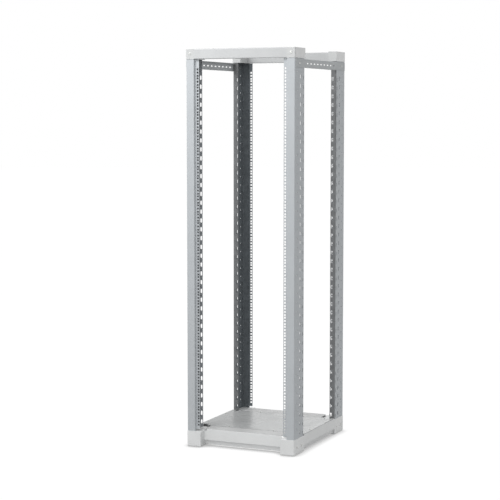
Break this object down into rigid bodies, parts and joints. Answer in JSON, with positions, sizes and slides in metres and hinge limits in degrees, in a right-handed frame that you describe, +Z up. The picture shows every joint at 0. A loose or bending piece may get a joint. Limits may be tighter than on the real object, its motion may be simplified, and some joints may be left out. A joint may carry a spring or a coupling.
{
  "type": "open four-post rack",
  "caption": "Open four-post 19 inch equipment rack: folded slotted posts, corner blocks, tube top frame, plinth with floor plate and levelling feet.",
  "frame": {"origin": "on the floor, under the middle of the rack", "axes": "+Z up, -Y towards the front, +X towards the right side seen from the front"},
  "size_m": [0.5848, 0.6848, 1.976],
  "materials": {
    "post_paint": "matt light grey powder coat, thinner inside the folds",
    "rail_paint": "satin grey powder coat",
    "beam_paint": "satin light grey powder coat",
    "cap_paint": "lacquered light grey paint on a casting",
    "block_paint": "fine-textured light grey paint on a casting",
    "plinth_paint": "satin light grey powder coat",
    "floor_paint": "glossy light grey",
    "galvanised_steel": "zinc-coated sheet",
    "zinc_fasteners": "bright zinc plating",
    "foot_plastic": "moulded dark grey",
    "foot_rubber": "matt black"
  },
  "bodies": {
    "frame": {"upright_front_left": "post_paint", "upright_front_right": "post_paint", "upright_rear_left": "post_paint", "upright_rear_right": "post_paint", "top_corner_front_left": "cap_paint", "top_corner_front_right": "cap_paint", "top_corner_rear_left": "cap_paint", "top_corner_rear_right": "cap_paint", "base_corner_front_left": "block_paint", "base_corner_front_right": "block_paint", "base_corner_rear_left": "block_paint", "base_corner_rear_right": "block_paint", "top_beam_front": "beam_paint", "top_beam_rear": "beam_paint", "top_rail_left": "rail_paint", "top_rail_right": "rail_paint", "base_beam_front": "plinth_paint", "base_beam_rear": "plinth_paint", "base_beam_left": "plinth_paint", "base_beam_right": "plinth_paint", "floor_plate": "floor_paint", "floor_bearer_front": "galvanised_steel", "floor_bearer_rear": "galvanised_steel", "nut_plate_front_left": "galvanised_steel", "nut_plate_front_right": "galvanised_steel", "nut_plate_rear_left": "galvanised_steel", "nut_plate_rear_right": "galvanised_steel", "top_corner_screws": "zinc_fasteners", "top_beam_screws": "zinc_fasteners", "top_rail_screws": "zinc_fasteners", "top_rail_nuts": "zinc_fasteners", "base_corner_screws": "zinc_fasteners", "base_beam_screws": "zinc_fasteners", "floor_screws": "zinc_fasteners"},
    "foot_front_left": {"foot_pad_front_left": "foot_plastic", "foot_sole_front_left": "foot_rubber"},
    "stud_front_left": {"foot_stud_front_left": "zinc_fasteners"},
    "foot_front_right": {"foot_pad_front_right": "foot_plastic", "foot_sole_front_right": "foot_rubber"},
    "stud_front_right": {"foot_stud_front_right": "zinc_fasteners"},
    "foot_rear_left": {"foot_pad_rear_left": "foot_plastic", "foot_sole_rear_left": "foot_rubber"},
    "stud_rear_left": {"foot_stud_rear_left": "zinc_fasteners"},
    "foot_rear_right": {"foot_pad_rear_right": "foot_plastic", "foot_sole_rear_right": "foot_rubber"},
    "stud_rear_right": {"foot_stud_rear_right": "zinc_fasteners"}
  },
  "joints": [
    {"name": "foot_slide_front_left", "type": "slide", "parent": "frame", "child": "foot_front_left", "axis": [0, 0, -1], "range_m": [0, 0.02]},
    {"name": "stud_turn_front_left", "type": "hinge", "parent": "foot_front_left", "child": "stud_front_left", "pos_m": [-0.2525, -0.276, 0.02], "axis": [0, 0, -1], "range_deg": [0, 4800]},
    {"name": "foot_slide_front_right", "type": "slide", "parent": "frame", "child": "foot_front_right", "axis": [0, 0, -1], "range_m": [0, 0.02]},
    {"name": "stud_turn_front_right", "type": "hinge", "parent": "foot_front_right", "child": "stud_front_right", "pos_m": [0.2525, -0.276, 0.02], "axis": [0, 0, -1], "range_deg": [0, 4800]},
    {"name": "foot_slide_rear_left", "type": "slide", "parent": "frame", "child": "foot_rear_left", "axis": [0, 0, -1], "range_m": [0, 0.02]},
    {"name": "stud_turn_rear_left", "type": "hinge", "parent": "foot_rear_left", "child": "stud_rear_left", "pos_m": [-0.2525, 0.276, 0.02], "axis": [0, 0, -1], "range_deg": [0, 4800]},
    {"name": "foot_slide_rear_right", "type": "slide", "parent": "frame", "child": "foot_rear_right", "axis": [0, 0, -1], "range_m": [0, 0.02]},
    {"name": "stud_turn_rear_right", "type": "hinge", "parent": "foot_rear_right", "child": "stud_rear_right", "pos_m": [0.2525, 0.276, 0.02], "axis": [0, 0, -1], "range_deg": [0, 4800]}
  ],
  "couplings": [
    {"joint": "stud_turn_front_left", "follows": "foot_slide_front_left", "rad_per_m": 4188.8},
    {"joint": "stud_turn_front_right", "follows": "foot_slide_front_right", "rad_per_m": 4188.8},
    {"joint": "stud_turn_rear_left", "follows": "foot_slide_rear_left", "rad_per_m": 4188.8},
    {"joint": "stud_turn_rear_right", "follows": "foot_slide_rear_right", "rad_per_m": 4188.8}
  ]
}
